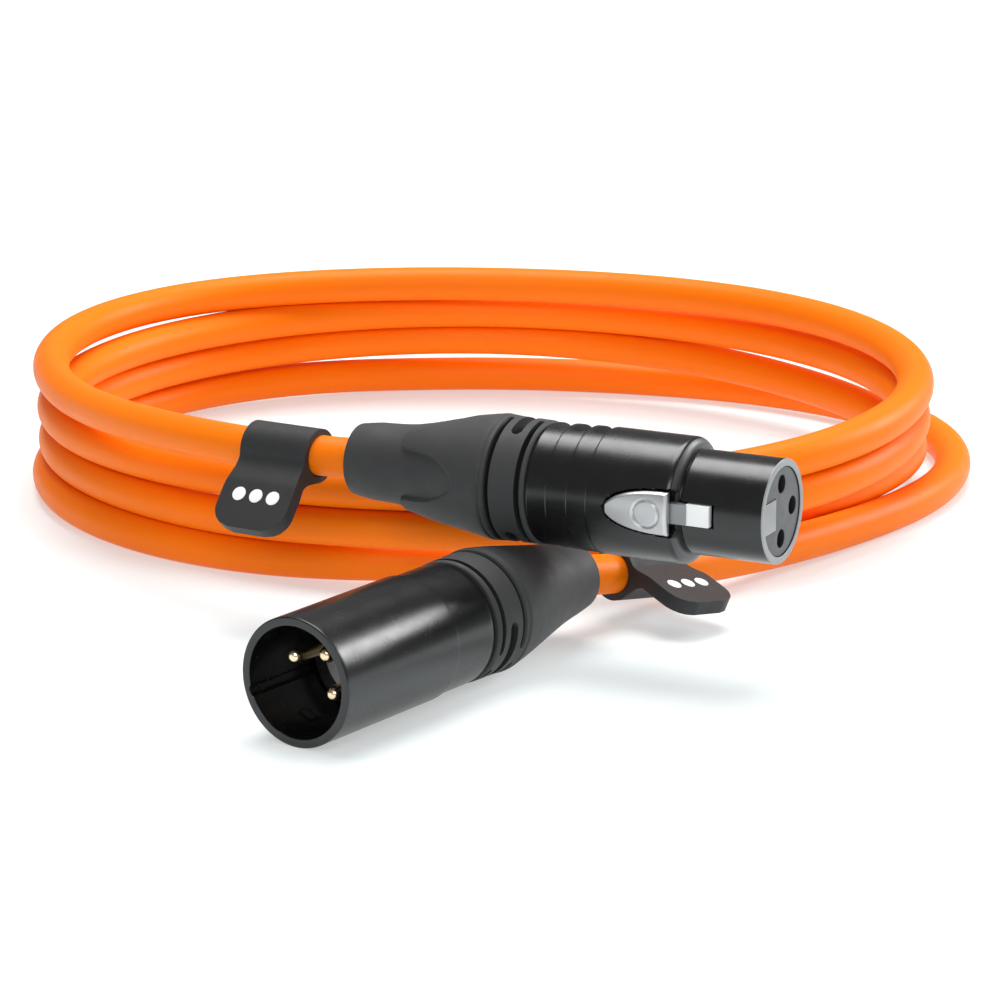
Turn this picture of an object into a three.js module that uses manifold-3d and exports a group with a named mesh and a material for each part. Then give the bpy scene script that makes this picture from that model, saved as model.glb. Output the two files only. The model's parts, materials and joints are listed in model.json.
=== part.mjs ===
// A three-pole microphone cable, coiled in almost four turns with its two connectors in front.
import * as THREE from "three";
import { mergeVertices } from "three/addons/utils/BufferGeometryUtils.js";
import Module from "manifold-3d";

const wasm = await Module();
wasm.setup();

// Millimetres, +Z up.
const SHIFT = [-15.348, 29.259, 0]; // brings the middle of the outer box's foot to the origin
const GAP = 0.3; // between neighbouring pieces
const CABLE_R = 3.135; // cable jacket, 6.27 mm across
const SEG = 36; // facets of a round body

// Frames of the connectors: centre of the mating face, and turn about Z of the axis that runs from the mating face to the boot.
const MALE_FACE = [66.77, -137.12, 9.5],
  MALE_TURN = 90,
  MALE_LENGTH = 67.9;
const FEMALE_FACE = [107.03, -73.5, 26.75],
  FEMALE_TURN = -171.02,
  FEMALE_LENGTH = 70.1;
const SHELL_R = 9.5; // 19 mm shell
const CONTACT_R = 4.1; // contacts' circle
const PIN_R = 1.2,
  SOCKET_R = 1.55,
  SOCKET_BORE_R = 1.25;
const PIN_ANGLES = [147, 57, -31]; // seen into the cup, counter-clockwise from its right
const SOCKET_ANGLES = [90, 0, -90]; // seen onto the nose, counter-clockwise from its right

// Male connector, stations along the axis from the rim.
const CUP_R = 8.2,
  CUP_DEPTH = 14,
  MALE_STEP = 26.2,
  MALE_SHELL_END = 35.9,
  PIN_TIP = 3.5;
// Female connector.
const NOSE_R = 7.8,
  NOSE_END = 13.4,
  NOSE_BORE_R = 6.7,
  FEMALE_SHELL_END = 37.3,
  LATCH_PIVOT = [8.9, 23.8]; // distance from the axis, and station
const REAR_BORE_R = 7.6,
  SLEEVE_R = 7.2,
  SLEEVE_BORE_R = 6.6,
  CHUCK_R = 6.2,
  CHUCK_BORE_R = 3.5,
  BOOT_BAND_R = 9.38,
  BOOT_END_R = 5.5,
  BOOT_BORE_R = 3.6,
  BOOT_CAVITY_R = 7.5;

// Coil: inner and outer edge of the stacked turns every 15 degrees from +X about the loop's middle.
const COIL_IN = [69, 71.3, 71.1, 67.1, 63.1, 59.7, 57.3, 56.2, 56.6, 58.5, 61.8, 65.3, 67.5, 69.6, 71.2, 71.4, 70.6, 69.6, 68.5, 66.6, 65.1, 64.4, 64.9, 66.6];
const COIL_OUT = [82.5, 80.7, 77.8, 75.6, 72.5, 70.2, 68.9, 68.7, 69.4, 70.8, 73.7, 75.7, 77.4, 78.6, 79.1, 78.9, 78, 76.6, 75.3, 75.4, 76.2, 78, 80.4, 82.3];
const COIL_LOW = 19.2, // top of the third turn
  COIL_TOP = 25.9, // top of the fourth turn
  TOP_FROM = -8, // the fourth turn's arc, degrees
  TOP_TO = 218;

// Cable stretches outside the coil, as points of their middle line.
const TAIL_FEMALE = [[37.85, -84.44, 26.75], [31.5, -85.8, 26.68], [25.7, -86.65, 26.54], [19.6, -86.95, 26.36], [6.2, -85.35, 25.8], [-11, -80.15, 24.7], [-29, -71.6, 23.5], [-45.4, -60.3, 22.7], [-52.5, -53.9, 22.5]];
const TAIL_MALE = [[66.79, -69.2, 9.4], [67.85, -63.4, 8.5], [69.68, -52.7, 6.94], [71.6, -40, 5.5], [73.3, -26.8, 4.5], [74.8, -12.5, 3.8], [75.8, 1.9, 3.4], [75.75, 16.4, 3.2], [74, 30.7, 3.2], [69.45, 44.3, 3.2], [61.7, 56.5, 3.35], [51, 66.1, 3.5], [38.1, 72.4, 3.6], [24, 75.4, 3.6], [9.6, 75.4, 3.5]];
const COIL_CLEAR = 0.5; // groove the outermost turn keeps in the coil

// Cable clips: middle of the band on the cable, direction of the cable there, and the tag's fall below level.
const CLIP_BORE_R = 3.6,
  CLIP_R = 4.7,
  CLIP_WIDTH = 12,
  TAG_THICK = 2.3,
  TAG_FACE = 3.5, // from the cable's middle to the tag's outer face
  TAG_LENGTH = 15.2,
  TAG_ROUND = 3.6,
  DOT_R = 1.1,
  DOT_PITCH = 3.1,
  DOT_AT = 9.6;
const CLIPS = {
  female: { at: [25.5, -86.656, 26.53], turn: 4.5, rise: 0.4, fall: 50 },
  male: { at: [69.44, -54.37, 7.14], turn: 80.3, rise: -8.2, fall: 19 },
};

const rad = (d) => (d * Math.PI) / 180;
const group = new THREE.Group();

function solid(geometry) {
  const g = geometry.clone();
  g.deleteAttribute("normal");
  g.deleteAttribute("uv");
  const m = mergeVertices(g, 1e-4);
  const tri = new Uint32Array(m.index.array);
  const make = (t) =>
    new wasm.Manifold(
      new wasm.Mesh({ numProp: 3, vertProperties: new Float32Array(m.attributes.position.array), triVerts: t }),
    );
  let s = make(tri);
  if (s.volume() < 0) {
    for (let i = 0; i < tri.length; i += 3) [tri[i + 1], tri[i + 2]] = [tri[i + 2], tri[i + 1]];
    s = make(tri);
  }
  return s;
}

// Round body about the local z axis from [radius, station] points.
function round(points, seg = SEG) {
  const p = points.map(([r, z]) => new THREE.Vector2(r, z));
  if (!(points[0][0] === 0 && points.at(-1)[0] === 0)) p.push(p[0].clone());
  return solid(new THREE.LatheGeometry(p, seg).rotateX(Math.PI / 2));
}

const box = (x0, x1, y0, y1, z0, z1) =>
  solid(new THREE.BoxGeometry(x1 - x0, y1 - y0, z1 - z0).translate((x0 + x1) / 2, (y0 + y1) / 2, (z0 + z1) / 2));

const rod = (r, x, y, z0, z1, seg = 14) =>
  solid(new THREE.CylinderGeometry(r, r, z1 - z0, seg).rotateX(Math.PI / 2).translate(x, y, (z0 + z1) / 2));

function tube(points, r, steps, sides = 10) {
  const shape = new THREE.Shape();
  for (let i = 0; i < sides; i++) {
    const a = (2 * Math.PI * i) / sides;
    i ? shape.lineTo(r * Math.cos(a), r * Math.sin(a)) : shape.moveTo(r, 0);
  }
  const path = new THREE.CatmullRomCurve3(points.map((q) => new THREE.Vector3(...q)), false, "centripetal");
  return solid(new THREE.ExtrudeGeometry(shape, { steps, extrudePath: path, bevelEnabled: false }));
}

function add(name, s, colour, matrix = new THREE.Matrix4(), roughness = 0.5, metalness = 0) {
  const m = s.getMesh(),
    n = m.numProp,
    v = new Float32Array(m.numVert * 3);
  for (let i = 0; i < m.numVert; i++) v.set(m.vertProperties.subarray(i * n, i * n + 3), i * 3);
  const g = new THREE.BufferGeometry()
    .setAttribute("position", new THREE.BufferAttribute(v, 3))
    .setIndex(new THREE.BufferAttribute(new Uint32Array(m.triVerts), 1));
  g.applyMatrix4(matrix);
  g.translate(...SHIFT);
  const flat = g.toNonIndexed();
  flat.computeVertexNormals();
  const mesh = new THREE.Mesh(flat, new THREE.MeshStandardMaterial({ color: colour, roughness, metalness }));
  mesh.name = name;
  group.add(mesh);
}

// Local frame of a connector: z runs from the mating face to the boot, y is up.
function frame(origin, turn) {
  const z = new THREE.Vector3(Math.cos(rad(turn)), Math.sin(rad(turn)), 0),
    y = new THREE.Vector3(0, 0, 1),
    x = new THREE.Vector3().crossVectors(y, z);
  return new THREE.Matrix4().makeBasis(x, y, z).setPosition(...origin);
}
const MALE = frame(MALE_FACE, MALE_TURN),
  FEMALE = frame(FEMALE_FACE, FEMALE_TURN);

const BLACK = 0x17181a,
  RUBBER = 0x2b2c2e,
  ORANGE = 0xf2701a,
  SILVER = 0xc9c9c7,
  GOLD = 0xd8b46a;

// Boot, its threaded sleeve, the chuck and the cores, alike on both connectors.
function rearEnd(id, M, shellEnd, length, slotsAt, restsAt) {
  const b0 = shellEnd + GAP,
    cavity = shellEnd + 10.5;
  let boot = round([
    [BOOT_CAVITY_R, b0],
    [BOOT_BAND_R - 0.35, b0],
    [BOOT_BAND_R - 0.1, b0 + 0.3],
    [BOOT_BAND_R - 0.05, b0 + 0.8],
    [BOOT_BAND_R - 0.7, b0 + 1.0],
    [BOOT_BAND_R - 0.7, b0 + 1.5],
    [BOOT_BAND_R, b0 + 1.7],
    [BOOT_BAND_R + 0.1, b0 + 5.7],
    [BOOT_BAND_R - 0.6, b0 + 5.9],
    [BOOT_BAND_R - 0.6, b0 + 6.4],
    [BOOT_BAND_R + 0.15, b0 + 6.6],
    [BOOT_BAND_R + 0.15, b0 + 8],
    [8.95, b0 + 12],
    [8.08, b0 + 16.2],
    [7.18, b0 + 20.6],
    [6.45, b0 + 24.3],
    [5.85, length - 2.5],
    [BOOT_END_R, length - 0.4],
    [BOOT_END_R - 0.3, length],
    [BOOT_BORE_R + 0.7, length],
    [BOOT_BORE_R, length - 6],
    [BOOT_BORE_R, cavity + 3],
    [BOOT_CAVITY_R, cavity],
  ]);
  for (const a of slotsAt)
    boot = boot.subtract(box(BOOT_CAVITY_R + 0.7, 12, -4.6, 4.6, b0 + 2.7, b0 + 4.7).rotate([0, 0, a]));
  for (const a of restsAt)
    boot = boot.subtract(
      box(0, 6, -4.1, 4.1, b0 + 12.4, length - 10)
        .rotate([0, -8.5, 0])
        .translate([7.9 + (b0 + 12.4) * Math.tan(rad(8.5)), 0, 0])
        .rotate([0, 0, a]),
    );
  add(id + "_boot", boot, RUBBER, M, 0.75);
  add(
    id + "_sleeve",
    round([
      [SLEEVE_BORE_R, shellEnd - 5.5],
      [SLEEVE_R - 0.2, shellEnd - 5.5],
      [SLEEVE_R, shellEnd - 5.2],
      [SLEEVE_R, shellEnd + 10],
      [SLEEVE_BORE_R, shellEnd + 10],
    ], 28),
    0x3a3b3d,
    M,
    0.4,
    0.6,
  );
  add(
    id + "_chuck",
    round([
      [CHUCK_BORE_R, shellEnd - 3.2],
      [CHUCK_R, shellEnd - 3.2],
      [CHUCK_R, shellEnd + 5],
      [CHUCK_R - 1.6, shellEnd + 8.5],
      [CHUCK_BORE_R, shellEnd + 8.5],
    ], 24),
    0xe9e6dc,
    M,
    0.6,
  );
}

const onCircle = (deg, r = CONTACT_R) => [-r * Math.cos(rad(deg)), r * Math.sin(rad(deg))];
function core(id, M, deg, z0, z1, colour) {
  const [x0, y0] = onCircle(deg),
    [x1, y1] = onCircle(deg, 1.7);
  add(id, tube([[x0, y0, z0], [(x0 + x1) / 2, (y0 + y1) / 2, (z0 + z1) / 2], [x1, y1, z1]], 0.75, 3, 8), colour, M, 0.6);
}

// Male connector
{
  const key = 242; // the mating latch's window is opposite the middle pin
  const [kx, ky] = onCircle(key, 1);
  let shell = round([
    [CUP_R, 0.35],
    [CUP_R + 0.3, 0],
    [SHELL_R - 0.35, 0],
    [SHELL_R, 0.35],
    [SHELL_R, MALE_STEP],
    [SHELL_R - 0.3, MALE_STEP + 0.2],
    [SHELL_R - 0.3, MALE_SHELL_END - 1.1],
    [SHELL_R - 0.9, MALE_SHELL_END - 0.2],
    [SHELL_R - 0.9, MALE_SHELL_END],
    [REAR_BORE_R, MALE_SHELL_END],
    [REAR_BORE_R, 25],
    [CUP_R, 24.5],
  ]);
  shell = shell.subtract(
    box(CUP_R - 0.6, CUP_R + 0.7, -2.1, 2.1, 6.2, 10.2).rotate([0, 0, (Math.atan2(ky, kx) * 180) / Math.PI]),
  );
  add("male_shell", shell, BLACK, MALE, 0.35, 0.6);
  let insert = round([
    [0, CUP_DEPTH],
    [CUP_R - GAP, CUP_DEPTH],
    [CUP_R - GAP, CUP_DEPTH + 8],
    [0, CUP_DEPTH + 8],
  ]);
  PIN_ANGLES.forEach((d, i) => {
    const [x, y] = onCircle(d);
    insert = insert.subtract(rod(PIN_R + GAP, x, y, CUP_DEPTH - 1, CUP_DEPTH + 9));
    let pin = round([
      [0, PIN_TIP],
      [0.55, PIN_TIP + 0.1],
      [1.0, PIN_TIP + 0.5],
      [PIN_R, PIN_TIP + 1.1],
      [PIN_R, 27],
      [0, 27],
    ], 16).translate([x, y, 0]);
    add("male_pin_" + (i + 1), pin, GOLD, MALE, 0.25, 1);
    core(["male_shield", "male_hot", "male_cold"][i], MALE, d, 27.3, 30.6, [0xb9b9b4, 0xb43a2a, 0xe8e4da][i]);
  });
  add("male_insert", insert, 0x141415, MALE, 0.6);
  add(
    "male_ground_spring",
    box(CUP_R - 1.3, CUP_R - 0.75, -1.7, 1.7, 7.5, CUP_DEPTH - GAP).rotate([0, 0, 163]),
    SILVER,
    MALE,
    0.35,
    1,
  );
  rearEnd("male", MALE, MALE_SHELL_END, MALE_LENGTH, [213, 33], []);
}

// Female connector; the latch is on local +x.
{
  let shell = round([
    [NOSE_BORE_R, 0.3],
    [NOSE_BORE_R + 0.3, 0],
    [NOSE_R - 0.3, 0],
    [NOSE_R, 0.3],
    [NOSE_R, NOSE_END - 0.8],
    [NOSE_R - 0.55, NOSE_END - 0.6],
    [NOSE_R - 0.55, NOSE_END],
    [SHELL_R - 1.1, NOSE_END],
    [SHELL_R, NOSE_END + 0.8],
    [SHELL_R, 27.3],
    [SHELL_R - 0.15, 27.4],
    [SHELL_R - 0.15, 30.5],
    [SHELL_R - 0.3, 30.6],
    [SHELL_R - 0.3, 33.9],
    [SHELL_R - 0.45, 34],
    [SHELL_R - 0.45, FEMALE_SHELL_END - 0.4],
    [SHELL_R - 0.7, FEMALE_SHELL_END],
    [REAR_BORE_R, FEMALE_SHELL_END],
    [REAR_BORE_R, 27],
    [NOSE_BORE_R, 26],
  ]);
  shell = shell.add(box(2.3, NOSE_BORE_R + 0.4, -2.2, 2.2, 0.1, 1.6));
  // Window for the latch: narrow in the nose, wide in the body.
  shell = shell
    .subtract(box(4.5, 12, -2, 2, 7.3, 16.2))
    .subtract(box(7.2, 12, -4.2, 4.2, 13.2, 24.9));
  add("female_shell", shell, BLACK, FEMALE, 0.35, 0.6);
  let insert = round([
    [0, 0.5],
    [NOSE_BORE_R - GAP, 0.5],
    [NOSE_BORE_R - GAP, 22],
    [0, 22],
  ]).subtract(box(2.0, 9, -2.6, 2.6, 0, 23));
  SOCKET_ANGLES.forEach((d, i) => {
    const [x, y] = onCircle(d);
    insert = insert.subtract(rod(SOCKET_R + GAP, x, y, 0, 23));
    add(
      "female_socket_" + (i + 1),
      round([
        [SOCKET_BORE_R, 1.2],
        [SOCKET_R, 1.2],
        [SOCKET_R, 24],
        [0, 24],
        [0, 20],
        [SOCKET_BORE_R, 20],
      ].slice(0, 4).concat([[0, 20], [SOCKET_BORE_R, 20]]), 16).translate([x, y, 0]),
      GOLD,
      FEMALE,
      0.3,
      1,
    );
    core(["female_shield", "female_hot", "female_cold"][i], FEMALE, d, 24.3, 34.2, [0xb9b9b4, 0xb43a2a, 0xe8e4da][i]);
  });
  add("female_insert", insert, 0x4a4c50, FEMALE, 0.5);
  // Latch: thumb plate with a pointed rear end, a neck and a hook in the nose.
  const plate = new THREE.Shape();
  plate.moveTo(14.2, -3.3);
  plate.lineTo(17.2, -3.3);
  plate.lineTo(20, -2.7);
  plate.lineTo(22.8, -1.3);
  plate.lineTo(24.2, 0);
  plate.lineTo(22.8, 1.3);
  plate.lineTo(20, 2.7);
  plate.lineTo(17.2, 3.3);
  plate.lineTo(14.2, 3.3);
  plate.closePath();
  const thumb = solid(
    new THREE.ExtrudeGeometry(plate, { depth: 1.5, bevelEnabled: false }).applyMatrix4(
      new THREE.Matrix4().makeBasis(
        new THREE.Vector3(0, 0, 1),
        new THREE.Vector3(0, 1, 0),
        new THREE.Vector3(-1, 0, 0),
      ).setPosition(10.2, 0, 0),
    ),
  );
  const latch = thumb
    .add(box(7.0, 8.9, -1.5, 1.5, 10, 15.5))
    .add(box(7.0, 8.75, -1.6, 1.6, 7.8, 11.9));
  add("female_latch", latch, SILVER, FEMALE, 0.3, 1);
  add("female_latch_spring", box(7.5, 7.75, -1.2, 1.2, 16.5, 24.8), SILVER, FEMALE, 0.35, 1);
  rearEnd("female", FEMALE, FEMALE_SHELL_END, FEMALE_LENGTH, [98, 278], [3, 93, 183, 273]);
}

// Coil: three full turns, and the arc of the fourth on top.
{
  const N = 72,
    edge = (table, deg) => {
      const t = (((deg % 360) + 360) % 360) / 15,
        i = Math.floor(t) % 24;
      return table[i] + (table[(i + 1) % 24] - table[i]) * (t - Math.floor(t));
    };
  const at = (table, deg, off) => {
    const r = edge(table, deg) + off;
    return [r * Math.cos(rad(deg)), r * Math.sin(rad(deg))];
  };
  const slab = (from, to, n, z0, z1, closed, inOff, outOff) => {
    const shape = new THREE.Shape(),
      hole = new THREE.Path();
    const outer = [],
      inner = [];
    for (let i = 0; i < n + (closed ? 0 : 1); i++) {
      const d = from + ((to - from) * i) / n;
      outer.push(at(COIL_OUT, d, outOff));
      inner.push(at(COIL_IN, d, inOff));
    }
    if (closed) {
      shape.setFromPoints(outer.map((p) => new THREE.Vector2(...p)));
      hole.setFromPoints(inner.map((p) => new THREE.Vector2(...p)));
      shape.holes.push(hole);
    } else shape.setFromPoints(outer.concat(inner.reverse()).map((p) => new THREE.Vector2(...p)));
    return solid(new THREE.ExtrudeGeometry(shape, { depth: z1 - z0, bevelEnabled: false }).translate(0, 0, z0));
  };
  let coil = slab(0, 360, N, 1.2, COIL_LOW - 1.2, true, 0, 0)
    .add(slab(0, 360, N, 0, COIL_LOW, true, 1.2, -1.2))
    .add(slab(TOP_FROM, TOP_TO, 46, COIL_LOW - 2, COIL_TOP, false, 1.2, -1.2));
  coil = coil
    .subtract(tube(TAIL_MALE.concat([[-2, 73.6, 3.4]]), CABLE_R + COIL_CLEAR, 20, 8))
    .subtract(tube(TAIL_FEMALE.concat([[-56.0, -50.2, 22.6]]), CABLE_R + COIL_CLEAR, 12, 8));
  const parts = coil.decompose().sort((a, b) => b.volume() - a.volume());
  add("cable_coil", parts[0], ORANGE, undefined, 0.45);
}
const straight = (M, z0, z1) =>
  [z0, (z0 + z1) / 2, z1].map((z) => new THREE.Vector3(0, 0, z).applyMatrix4(M).toArray());
add("cable_tail_female", tube(straight(FEMALE, FEMALE_SHELL_END - 2.7, FEMALE_LENGTH - 8).concat(TAIL_FEMALE), CABLE_R, 16), ORANGE, undefined, 0.45);
add("cable_tail_male", tube(straight(MALE, MALE_SHELL_END - 3.6, MALE_LENGTH - 8).concat(TAIL_MALE), CABLE_R, 27), ORANGE, undefined, 0.45);

// Clips: a band round the cable and a flat tag that leaves it at a tangent, with three dots on the tag.
for (const [id, c] of Object.entries(CLIPS)) {
  const t = new THREE.Vector3(Math.cos(rad(c.turn)) * Math.cos(rad(c.rise)), Math.sin(rad(c.turn)) * Math.cos(rad(c.rise)), Math.sin(rad(c.rise)));
  const out = new THREE.Vector3(t.y, -t.x, 0).normalize(), // level, to the cable's outer side
    up = new THREE.Vector3().crossVectors(out, t);
  if (up.z < 0) up.negate();
  const h = out.clone().multiplyScalar(Math.cos(rad(c.fall))).addScaledVector(up, -Math.sin(rad(c.fall))),
    n = out.clone().multiplyScalar(Math.sin(rad(c.fall))).addScaledVector(up, Math.cos(rad(c.fall)));
  const z = new THREE.Vector3().crossVectors(h, n);
  const M = new THREE.Matrix4().makeBasis(h, n, z).setPosition(...c.at);
  let clip = round([[CLIP_BORE_R, -CLIP_WIDTH / 2], [CLIP_R, -CLIP_WIDTH / 2], [CLIP_R, CLIP_WIDTH / 2], [CLIP_BORE_R, CLIP_WIDTH / 2]], 28);
  const tag = new THREE.Shape(),
    w = CLIP_WIDTH / 2 + 0.3,
    L = TAG_LENGTH,
    q = TAG_ROUND;
  tag.moveTo(3.9, -CLIP_WIDTH / 2);
  tag.lineTo(7, -w);
  tag.lineTo(L - q, -w);
  tag.absarc(L - q, -w + q, q, -Math.PI / 2, 0, false);
  tag.absarc(L - q, w - q, q, 0, Math.PI / 2, false);
  tag.lineTo(7, w);
  tag.lineTo(3.9, CLIP_WIDTH / 2);
  tag.closePath();
  const plate = solid(
    new THREE.ExtrudeGeometry(tag, { depth: TAG_THICK, bevelEnabled: false, curveSegments: 5 }).applyMatrix4(
      new THREE.Matrix4().makeBasis(new THREE.Vector3(1, 0, 0), new THREE.Vector3(0, 0, 1), new THREE.Vector3(0, -1, 0)).setPosition(0, TAG_FACE, 0),
    ),
  );
  // Web between the band and the tag, hollowed above and below.
  const web = box(2.6, 7.2, -1.6, TAG_FACE + 0.5, -CLIP_WIDTH / 2, CLIP_WIDTH / 2)
    .subtract(rod(3.6, 7.4, -2.4, -20, 20, 24))
    .subtract(rod(3.2, 6.4, TAG_FACE + 3.2, -20, 20, 24));
  clip = clip.add(plate).add(web).subtract(rod(CLIP_BORE_R, 0, 0, -20, 20, 28));
  for (let k = -1; k <= 1; k++) clip = clip.subtract(rod(DOT_R + 0.02, 0, 0, -2, 2).rotate([90, 0, 0]).translate([DOT_AT, TAG_FACE + 1.7, k * DOT_PITCH]));
  add("clip_" + id, clip, RUBBER, M, 0.8);
  for (let k = -1; k <= 1; k++)
    add("clip_" + id + "_dot_" + (k + 2), rod(DOT_R - 0.1, 0, 0, -0.1, 0.1).rotate([90, 0, 0]).translate([DOT_AT, TAG_FACE + 0.04, k * DOT_PITCH]), 0xf4f4f2, M, 0.6);
}

export default group;
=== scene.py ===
import json
import math

import bmesh
import bpy
import numpy as np
from mathutils import Matrix, Vector

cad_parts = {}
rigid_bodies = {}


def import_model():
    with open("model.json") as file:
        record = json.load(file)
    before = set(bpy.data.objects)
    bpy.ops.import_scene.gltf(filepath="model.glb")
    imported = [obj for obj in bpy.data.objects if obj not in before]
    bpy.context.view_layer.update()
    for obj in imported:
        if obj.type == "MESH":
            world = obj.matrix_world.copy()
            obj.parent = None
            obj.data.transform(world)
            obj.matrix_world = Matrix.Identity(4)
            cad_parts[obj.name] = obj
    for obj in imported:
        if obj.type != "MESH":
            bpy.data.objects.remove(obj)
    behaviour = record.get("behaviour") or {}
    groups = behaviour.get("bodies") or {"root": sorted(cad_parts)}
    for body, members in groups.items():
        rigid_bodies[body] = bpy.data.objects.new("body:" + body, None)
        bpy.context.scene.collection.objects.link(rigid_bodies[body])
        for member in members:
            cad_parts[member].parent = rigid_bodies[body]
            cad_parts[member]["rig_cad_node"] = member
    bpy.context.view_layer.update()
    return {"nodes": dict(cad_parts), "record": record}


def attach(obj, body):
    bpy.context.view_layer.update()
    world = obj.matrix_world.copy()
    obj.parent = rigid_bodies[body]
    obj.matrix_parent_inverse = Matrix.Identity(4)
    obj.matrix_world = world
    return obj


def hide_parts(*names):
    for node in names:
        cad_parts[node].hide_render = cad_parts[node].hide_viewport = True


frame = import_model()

MM = 0.001
ROOT = "cable_and_shells"
scene = bpy.context.scene

# ---------------------------------------------------------------- camera
CAM_AT = Vector((0.38459, -0.52317, 0.17606))
CAM_LOOK = Vector((-0.56360, 0.78575, -0.25486))
cam_data = bpy.data.cameras.new("camera")
cam_data.sensor_width = 36.0
cam_data.lens = 143.43
cam_data.clip_start = 0.01
cam_data.clip_end = 20.0
cam = bpy.data.objects.new("camera", cam_data)
scene.collection.objects.link(cam)
cam.location = CAM_AT
cam.rotation_euler = CAM_LOOK.to_track_quat("-Z", "Y").to_euler()
scene.camera = cam
scene.view_settings.view_transform = "Standard"
scene.view_settings.look = "None"

# ---------------------------------------------------------------- cable route
# Middle line of the cable from the socket connector's boot round the coil to the pin connector's boot, mm.
ROUTE = [
    (20.56, -55.66, 26.69), (17.64, -56.33, 26.65), (13.70, -57.06, 26.59), (9.74, -57.55, 26.52), (4.74, -57.74, 26.39),
    (-1.24, -57.35, 26.17), (-9.13, -56.10, 25.80), (-22.56, -52.28, 24.97), (-38.34, -45.56, 23.88), (-53.12, -36.82, 23.00),
    (-66.47, -26.02, 22.48), (-77.74, -13.06, 22.33), (-85.76, 2.09, 22.45), (-88.98, 18.91, 22.66), (-86.71, 35.88, 22.80),
    (-79.47, 51.43, 22.82), (-68.56, 64.68, 22.81), (-55.08, 75.31, 22.85), (-39.83, 83.20, 22.99), (-23.39, 88.18, 23.21),
    (-6.31, 89.94, 23.43), (10.77, 88.21, 23.56), (27.03, 82.73, 23.49), (41.52, 73.55, 23.16), (53.18, 60.98, 22.55),
    (61.04, 45.77, 21.72), (64.25, 28.97, 20.74), (62.32, 11.97, 19.74), (55.62, -3.78, 18.80), (45.08, -17.30, 17.98),
    (31.77, -28.12, 17.29), (16.57, -36.09, 16.66), (0.14, -41.07, 16.20), (-16.93, -42.91, 15.95), (-34.03, -41.32, 15.71),
    (-50.34, -35.99, 15.57), (-64.78, -26.73, 15.55), (-76.16, -13.92, 15.64), (-83.53, 1.56, 15.94), (-86.49, 18.45, 16.30),
    (-85.06, 35.54, 16.54), (-79.51, 51.78, 16.70), (-70.25, 66.23, 16.80), (-57.85, 78.08, 16.85), (-43.08, 86.82, 16.81),
    (-26.74, 92.10, 16.74), (-9.66, 93.81, 16.70), (7.40, 91.87, 16.70), (23.63, 86.28, 16.66), (38.17, 77.16, 16.49),
    (50.14, 64.88, 16.10), (58.69, 50.02, 15.47), (62.98, 33.45, 14.65), (62.41, 16.34, 13.73), (57.02, 0.10, 12.77),
    (47.55, -14.18, 11.86), (35.02, -25.88, 11.03), (20.29, -34.68, 10.46), (4.11, -40.40, 10.02), (-12.89, -42.84, 9.44),
    (-30.02, -41.83, 9.25), (-46.54, -37.17, 9.21), (-61.54, -28.84, 9.28), (-73.99, -17.04, 9.43), (-82.91, -2.40, 9.63),
    (-87.65, 14.08, 9.90), (-87.91, 31.23, 10.21), (-83.82, 47.89, 10.54), (-75.77, 63.03, 10.84), (-64.32, 75.81, 11.03),
    (-50.22, 85.60, 11.02), (-34.30, 92.02, 10.74), (-17.39, 94.96, 10.24), (-0.24, 94.46, 9.60), (16.49, 90.62, 9.01),
    (32.02, 83.33, 8.67), (45.10, 72.26, 8.60), (53.86, 57.56, 8.65), (57.08, 40.75, 8.46), (55.34, 23.69, 7.91),
    (49.80, 7.46, 7.03), (41.25, -7.39, 5.99), (30.10, -20.41, 4.95), (16.64, -31.05, 4.08), (1.25, -38.62, 3.49),
    (-15.47, -42.45, 3.19), (-32.62, -42.08, 3.12), (-49.12, -37.37, 3.15), (-63.88, -28.64, 3.23), (-75.97, -16.47, 3.36),
    (-84.66, -1.68, 3.53), (-89.32, 14.82, 3.70), (-89.57, 31.97, 3.81), (-85.41, 48.61, 3.92), (-77.35, 63.76, 3.80),
    (-66.23, 76.85, 3.46), (-52.87, 87.64, 3.32), (-37.88, 96.03, 3.27), (-21.72, 101.85, 3.34), (-4.79, 104.77, 3.49),
    (12.36, 104.15, 3.59), (28.79, 99.27, 3.58), (42.87, 89.53, 3.41), (53.04, 75.75, 3.21), (58.72, 59.58, 3.10),
    (60.51, 42.49, 3.19), (60.12, 25.31, 3.50), (58.64, 8.18, 4.14), (57.83, 1.17, 4.56), (56.56, -8.72, 5.32),
    (55.42, -16.60, 6.10), (54.49, -22.48, 6.81), (53.68, -27.37, 7.47), (53.01, -31.28, 8.03), (52.33, -35.17, 8.60),
    (51.81, -38.10, 9.05),
]
FEMALE_FACE, FEMALE_TURN = (91.682, -44.241, 26.75), -171.02
MALE_FACE, MALE_TURN = (51.422, -107.861, 9.5), 90.0
FEMALE_SHELL_END, FEMALE_LENGTH = 37.3, 70.1
MALE_SHELL_END, MALE_LENGTH = 35.9, 67.9
CABLE_R = 3.135
CONTACT_R = 4.1


def rad(d):
    return math.radians(d)


def connector_frame(face, turn):
    z = Vector((math.cos(rad(turn)), math.sin(rad(turn)), 0))
    y = Vector((0, 0, 1))
    x = y.cross(z)
    m = Matrix.Identity(4)
    for i, v in enumerate((x, y, z)):
        for k in range(3):
            m[k][i] = v[k]
    for k in range(3):
        m[k][3] = face[k]
    return m


FEM = connector_frame(FEMALE_FACE, FEMALE_TURN)
MAL = connector_frame(MALE_FACE, MALE_TURN)


def place(m, p):
    return tuple(m @ Vector(p))


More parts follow.
